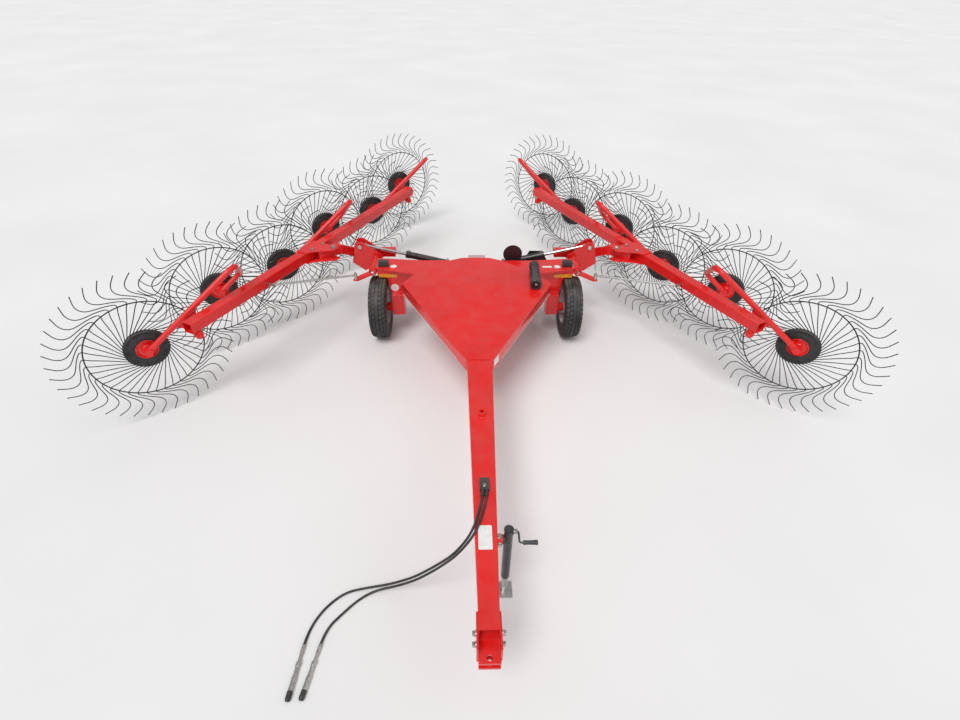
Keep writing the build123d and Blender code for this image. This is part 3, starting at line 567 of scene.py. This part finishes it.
arm_rise = left_along * 0.85 + UP * 0.545
arm_rise = arm_rise / np.linalg.norm(arm_rise)
arm_drop = left_along * 0.23 + UP * 0.15
arm_drop = arm_drop / np.linalg.norm(arm_drop)
wing_beads = []
for k in range(3):
    front = on_pair(k, -PAIR_HALF, FRONT_PLANE, HUB_Z)
    rear = on_pair(k, PAIR_HALF, REAR_PLANE, HUB_Z)
    wing_beads += [ring_bead(front + arm_rise * SOCKET_DEEP, arm_rise, SOCKET_R),
                   ring_bead(rear + arm_drop * SOCKET_DEEP, arm_drop, SOCKET_R)]
    for way in (-0.0165, 0.0165):
        wing_beads.append(bead([on_pair(k, way, -0.048, 0.8688), on_pair(k, way, 0.048, 0.8688)]))
    wing_beads.append(ring_bead(on_pair(k, 0, 0.168, SHAFT_Z), left_face, 0.0235))
chassis_beads = [ring_bead(at_axle(HINGE_X, 0.0245, HINGE_Z), [0, 1, 0], 0.0405),
                 ring_bead(at_axle(HINGE_X, 0.2010, HINGE_Z), [0, 1, 0], 0.0405),
                 bead([at_axle(-0.895, -0.0605, 0.508), at_axle(-0.765, -0.0605, 0.508)]),
                 bead([at_axle(-0.897, 0.0245, 0.511), at_axle(-0.765, 0.0245, 0.511)]),
                 ring_bead(at_axle(-0.8955, 0, 0.335), [1, 0, 0], 0.0505)]
for side in ("left", "right"):
    for name, body, beads in (("arm_welds", f"{side}_wing", wing_beads),
                              ("frame_welds", "chassis", chassis_beads)):
        mirrored = [(on_side(points, side), faces) for points, faces in beads]
        piece(f"{side}_{name}", body, red, "red_paint", *mirrored, crease=80)
piece("socket_weld", "chassis", red, "red_paint",
      ring_bead(at_axle(0, -2.095, 0.7172), [0, -BAR_SLOPE, 1], 0.0262), crease=80)


# Wing and hinge fasteners. Painted bolts hold the shafts' end caps and zinc ones the centre plates and the
# fold shafts, and the cylinders turn on headed pins. Grease nipples stand on every bearing and sleeve.
NIPPLE = [(0, 0), (0.0045, 0), (0.0045, 0.004), (0.0030, 0.005), (0.0030, 0.009), (0.0036, 0.010),
          (0.0036, 0.012), (0.0018, 0.0145), (0, 0.0145)]
PIN_HEAD = [(0, 0), (0.0158, 0), (0.0158, 0.0115), (0.0225, 0.0115), (0.0225, 0.0165), (0.0205, 0.0185),
            (0, 0.0185)]
GLAND = [(0.0175, 0), (0.0300, 0), (0.0300, 0.006), (0.0285, 0.008), (0.0175, 0.008)]
PLATES_AT = 1.49          # the centre plates, along the beam from its first pivot
FOOT_X, FOOT_Y, FOOT_Z = -0.215, 0.382, 0.640          # the cylinder's foot
REACH, RISE = 1.025, 0.245          # from there to its eye
wing_bolts = []
cap_bolts = []
for k in range(3):
    cap_bolts += bolt(on_pair(k, 0, -0.072, SHAFT_Z), left_face, 0.024)
    wing_bolts.append(shell(lathe(NIPPLE, on_pair(k, -0.034, 0.010, SHAFT_Z), -left_along, 10)))
for along, beside, flats in ((-0.065, 0.075, 0.024), (0.085, 0.085, 0.024), (0.072, 0.232, 0.036)):
    wing_bolts += bolt(on_beam(PLATES_AT + along, beside, 0.982), UP, flats)
    wing_bolts += bolt(on_beam(PLATES_AT + along, beside, 0.858), -UP, flats)
wing_bolts += bolt(at_axle(HINGE_X, -0.009, HINGE_Z), [0, -1, 0], 0.036)
wing_bolts += bolt(at_axle(HINGE_X, 0.449, HINGE_Z), [0, 1, 0], 0.036)
wing_bolts += bolt(at_axle(-1.222, -0.150, 0.8185), UP, 0.019)
wing_bolts += [shell(lathe(PIN_HEAD, at_axle(-1.240, 0.3228, 0.885), [0, -1, 0], 24)),
               shell(lathe(PIN_HEAD, at_axle(-1.240, 0.4412, 0.885), [0, 1, 0], 24))]
base_pins = [shell(lathe(PIN_HEAD, at_axle(FOOT_X, 0.3438, FOOT_Z), [0, -1, 0], 24)),
             shell(lathe(PIN_HEAD, at_axle(FOOT_X, 0.4202, FOOT_Z), [0, 1, 0], 24)),
             shell(lathe(NIPPLE, at_axle(HINGE_X, 0.100, 0.7945), UP, 10)),
             shell(lathe(NIPPLE, at_axle(HINGE_X, 0.250, 0.7945), UP, 10))]
foot = at_axle(FOOT_X, FOOT_Y, FOOT_Z)
stroke = np.array([-REACH, 0, RISE]) / np.hypot(REACH, RISE)
lift = np.array([RISE, 0, REACH]) / np.hypot(REACH, RISE)
ports = []
for along in (0.105, 0.535):
    ports += bolt(foot + stroke * along + lift * 0.0355, lift, 0.022)
gland = ring(GLAND, foot + stroke * 0.560, stroke, 32)
for side in ("left", "right"):
    for name, body, parts in (("wing_bolts", f"{side}_wing", wing_bolts), ("pins", "chassis", base_pins),
                              ("ports", f"{side}_cylinder_barrel", ports + [gland])):
        piece(f"{side}_{name}", body, zinc, "zinc_steel",
              *[(on_side(points, side), faces) for points, faces in parts], crease=25)
    piece(f"{side}_cap_bolts", f"{side}_wing", red, "red_paint",
          *[(on_side(points, side), faces) for points, faces in cap_bolts], crease=25)


# Drawbar fittings. Zinc bolts hold the clevis to the nose, the outlet's cover and the jack's bracket, and
# rubber sleeves hold the hoses. The jack's tube has a pressed cap, and its crank a black grip.
clevis_bolts = []
for y, z in ((-3.575, 0.548), (-3.600, 0.475)):
    for way in (-1, 1):
        clevis_bolts += bolt(at_axle(way * 0.0693, y, z), [way, 0, 0], 0.028)
piece("clevis_bolts", "chassis", zinc, "zinc_steel", *clevis_bolts, crease=25)
BAR_UP = np.array([0, -BAR_SLOPE, 1.0])
low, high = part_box("hose_outlet")
outlet_bolt = bolt([0, (low.y + high.y) / 2 - 0.012, high.z - 0.0022], BAR_UP, 0.017)
COLLAR = [(0.0085, 0.0), (0.0118, 0.0), (0.0122, 0.003), (0.0122, 0.009), (0.0112, 0.011), (0.0122, 0.013),
          (0.0122, 0.026), (0.0110, 0.029), (0.0085, 0.029)]
collars = [ring(COLLAR, at_axle(x, -2.7585, 0.6842), [-0.10, -0.99, -0.07], 24) for x in (-0.014, 0.014)]
piece("outlet_bolt", "chassis", zinc, "zinc_steel", *outlet_bolt, crease=25)
piece("hose_collars", "chassis", cap_rubber, "black_rubber", *collars, crease=25)
JACK_CAP = [(0.0, 0.0), (0.0285, 0.0), (0.0298, 0.002), (0.0298, 0.010), (0.0275, 0.0135), (0.020, 0.0150),
            (0.0, 0.0152)]
low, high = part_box("jack_body")
jack_x, jack_y = 0.135, -3.047
jack_cap = lathe(JACK_CAP, at_axle(jack_x, jack_y, high.z - 0.010), UP, 36)
piece("jack_cap", "chassis", black, "black_paint", shell(jack_cap))
GRIP = [(0.0, 0.0), (0.0130, 0.0), (0.0145, 0.003), (0.0132, 0.012), (0.0126, 0.035), (0.0138, 0.062),
        (0.0150, 0.080), (0.0138, 0.086), (0.0, 0.087)]
grip = lathe(GRIP, at_axle(jack_x + 0.0795, jack_y - 0.075, high.z - 0.025), [1, 0, 0], 24)
plastic = rubber("black_plastic", (0.018, 0.019, 0.022), rough=0.32, dust=0.25, scale=140.0)
piece("jack_grip", "chassis", plastic, "black_plastic", shell(grip))
mount_bolts = bolt(at_axle(0.0800, jack_y, 0.6305), UP, 0.024)
mount_bolts += bolt(at_axle(0.0800, -3.0770, 0.6000), [0, -1, 0], 0.024)
mount_bolts += bolt(at_axle(jack_x + 0.0275, jack_y, high.z - 0.025), [1, 0, 0], 0.030)
piece("jack_bolts", "chassis", zinc, "zinc_steel", *mount_bolts, crease=25)


# Lamps, reflectors and rear signs. The lamps are black housings with red lenses behind and two screws beside
# each, the reflectors are moulded in amber prisms, and the signs show their dark backs.
def lens(name, colour, pitch, depth):
    """Moulded clear plastic over prisms: a saturated colour with a grid of small pyramids in its bump."""
    made, tree, shader, at = new_finish(name)
    tone = wire(tree, "MixRGB", {"Fac": clouds(tree, at, 40.0, 0.0, 0.5), "Color1": (*colour, 1),
                                 "Color2": (*(0.7 * c for c in colour), 1)}).outputs["Color"]
    tree.links.new(tone, shader.inputs["Base Color"])
    cells = wire(tree, "TexVoronoi", {"Vector": at, "Scale": pitch, "Randomness": 0.0}, distance="MANHATTAN")
    bump = wire(tree, "Bump", {"Height": cells.outputs["Distance"], "Strength": 0.8, "Distance": depth})
    tree.links.new(bump.outputs["Normal"], shader.inputs["Normal"])
    tree.links.new(clouds(tree, at, 60.0, 0.08, 0.22), shader.inputs["Roughness"])
    shader.inputs["Coat Weight"].default_value = 1.0
    shader.inputs["Coat Roughness"].default_value = 0.05
    return made


def rounded(width, height, corner):
    """Outline of a rectangle with rounded corners, about its middle."""
    turn = np.linspace(0, pi / 2, 5)
    arcs = [np.stack([sx * (width / 2 - corner) + corner * np.cos(turn + start),
                      sy * (height / 2 - corner) + corner * np.sin(turn + start)], -1)
            for sx, sy, start in ((1, 1, 0), (-1, 1, pi / 2), (-1, -1, pi), (1, -1, 3 * pi / 2))]
    return np.concatenate(arcs)


def prism(outline, at, u, v, depth):
    """Plate: a flat outline in directions u and v, as thick as depth along their normal."""
    u = np.array(u, float) / np.linalg.norm(u)
    v = np.array(v, float) / np.linalg.norm(v)
    flat = np.array(at, float) + outline[:, :1] * u + outline[:, 1:] * v
    return shell(np.stack([flat, flat + depth * np.cross(u, v)]))


amber = lens("amber_lens", (0.95, 0.36, 0.01), pitch=220.0, depth=0.002)
red_lens = lens("red_lens", (0.55, 0.01, 0.01), pitch=260.0, depth=0.002)
sign_back = enamel("sign_back", (0.022, 0.014, 0.016), rough=0.35, dust=0.1, wear=0.3)
dress("amber_reflectors", amber, bevel=0.002)
dress("rear_signs", sign_back)
for name in ("marker_lamps", "hose_outlet", "manual_canister"):
    dress(name, plastic, bevel=0.002)
LAMP_X = 0.965
screws = []
lenses = []
for x in (-LAMP_X, LAMP_X):
    lenses.append(prism(rounded(0.086, 0.046, 0.008), at_axle(x, 0.1025, 0.8205), [-1, 0, 0], UP, 0.004))
    for y in (0.060, 0.090):
        screws += bolt(at_axle(x + np.sign(x) * 0.0615, y, 0.7900), UP, 0.014)
piece("lamp_lenses", "chassis", red_lens, None, *lenses, crease=40)
piece("lamp_screws", "chassis", zinc, "zinc_steel", *screws, crease=25)


# Labels and a painted highlight. Blank white vinyl lies on the drawbar, the frame and the hood's side, a
# blank white plate stands behind the hood, and a thin pale bar along the lower edges of the hood's front
# walls is a painted highlight of those edges.
def vinyl(name, colour):
    """Blank sticker film: off-white, glossy, faintly soiled, with a slight ripple. It also colours the pale
    bar that is a painted highlight along the hood's lower edges.
    """
    made, tree, shader, at = new_finish(name)
    soil = tuple(0.72 * c for c in colour)
    tone = wire(tree, "MixRGB", {"Fac": clouds(tree, at, 35.0, 0.0, 0.35, 6.0), "Color1": (*colour, 1),
                                 "Color2": (*soil, 1)}).outputs["Color"]
    tree.links.new(tone, shader.inputs["Base Color"])
    tree.links.new(clouds(tree, at, 20.0, 0.22, 0.38), shader.inputs["Roughness"])
    grain(tree, shader, at, 90.0, 0.08, 0.0006)
    return made


def disc(radius):
    """Round outline about its middle."""
    turn = np.linspace(0, 2 * pi, 28, endpoint=False)
    return radius * np.stack([np.cos(turn), np.sin(turn)], -1)


white = vinyl("white_vinyl", (0.83, 0.83, 0.80))
FILM = 0.0006
ACROSS, BACK = [1, 0, 0], [0, 1, 0]
FRAME_TOP = 0.7901
WALL_RUN = np.array([0.618, 1.093, 0.0845])
wall_front = np.array([0.112, -1.490, 0.6505])
wall_out = np.cross(WALL_RUN, UP) / np.linalg.norm(np.cross(WALL_RUN, UP))
on_wall = at_axle(*(wall_front + 0.05 * WALL_RUN + 0.058 * UP + 0.0001 * wall_out))
labels = [prism(rounded(0.084, 0.157, 0.006), at_axle(-0.006, -3.0625, 0.6490), ACROSS,
                -np.cross(BAR_UP, ACROSS), FILM),
          prism(disc(0.033), at_axle(-0.862, 0.062, FRAME_TOP), ACROSS, BACK, FILM),
          prism(disc(0.033), at_axle(0.860, 0.062, FRAME_TOP), ACROSS, BACK, FILM),
          prism(rounded(0.100, 0.036, 0.004), at_axle(0.752, 0.058, FRAME_TOP), ACROSS, BACK, FILM),
          prism(disc(0.044), at_axle(-0.862, 0.0249, 0.556), ACROSS, UP, FILM),
          prism(rounded(0.104, 0.020, 0.003), at_axle(0.678, 0.4545, 0.734), ACROSS, UP, FILM),
          prism(rounded(0.084, 0.070, 0.004), on_wall, WALL_RUN, UP, FILM)]
piece("labels", "chassis", white, "sign_plate", *labels, crease=40)
piece("white_plate", "chassis", white, "sign_plate",
      prism(rounded(0.180, 0.105, 0.006), at_axle(0.010, 0.2030, 0.8000), ACROSS, UP, 0.0025), crease=40)
# A thin pale bar along the lower edges of the hood's front walls: a painted highlight of those edges.
edge_highlight = vinyl("edge_highlight", (0.62, 0.60, 0.56))
share = np.linspace(0.13, 0.995, 40)[:, None]
line = wall_front + share * WALL_RUN + 0.001 * UP - 0.0025 * wall_out + [0, axle_y, 0]
highlight_bars = [shell(tube(on_side(line, side), 0.0045, 8)) for side in ("right", "left")]
piece("hood_edge_highlight", "chassis", edge_highlight, None, *highlight_bars, crease=60)


# Canister. A moulded plastic tube for the papers lies in its cradle: its cap has a knurled rim and a recessed
# steel lock, and two ribbed bands run round the tube.
CANISTER_RUN = np.array([0.023, 0.383, 0.0])
CANISTER_RUN = CANISTER_RUN / np.linalg.norm(CANISTER_RUN)
cap_face = at_axle(0.564, -0.492, 0.900) - CANISTER_RUN * 0.014
KNURL = [(0.0538, 0.004), (0.0552, 0.005), (0.0552, 0.037), (0.0538, 0.038)]
knurl = lathe(KNURL, cap_face, CANISTER_RUN, 96)
CAP_RIM = [(0.0, 0.0), (0.036, 0.0), (0.038, -0.004), (0.049, -0.004), (0.0525, -0.001), (0.0530, 0.003),
           (0.0, 0.003)]
BAND = [(0.0498, 0.0), (0.0512, 0.001), (0.0512, 0.007), (0.0498, 0.008)]
parts = [shell(knurl, loop=True), shell(lathe(CAP_RIM, cap_face, CANISTER_RUN, 48))]
for reach in (0.075, 0.090, 0.330, 0.345):
    parts.append(ring(BAND, cap_face + CANISTER_RUN * reach, CANISTER_RUN, 48))
piece("canister_fittings", "chassis", plastic, "black_plastic", *parts, crease=30)
LOCK = [(0.0, -0.0005), (0.0115, -0.0005), (0.0125, -0.0025), (0.0125, -0.0035), (0.0105, -0.0050),
        (0.0, -0.0052)]
piece("canister_lock", "chassis", zinc, "zinc_steel", shell(lathe(LOCK, cap_face, CANISTER_RUN, 24)))
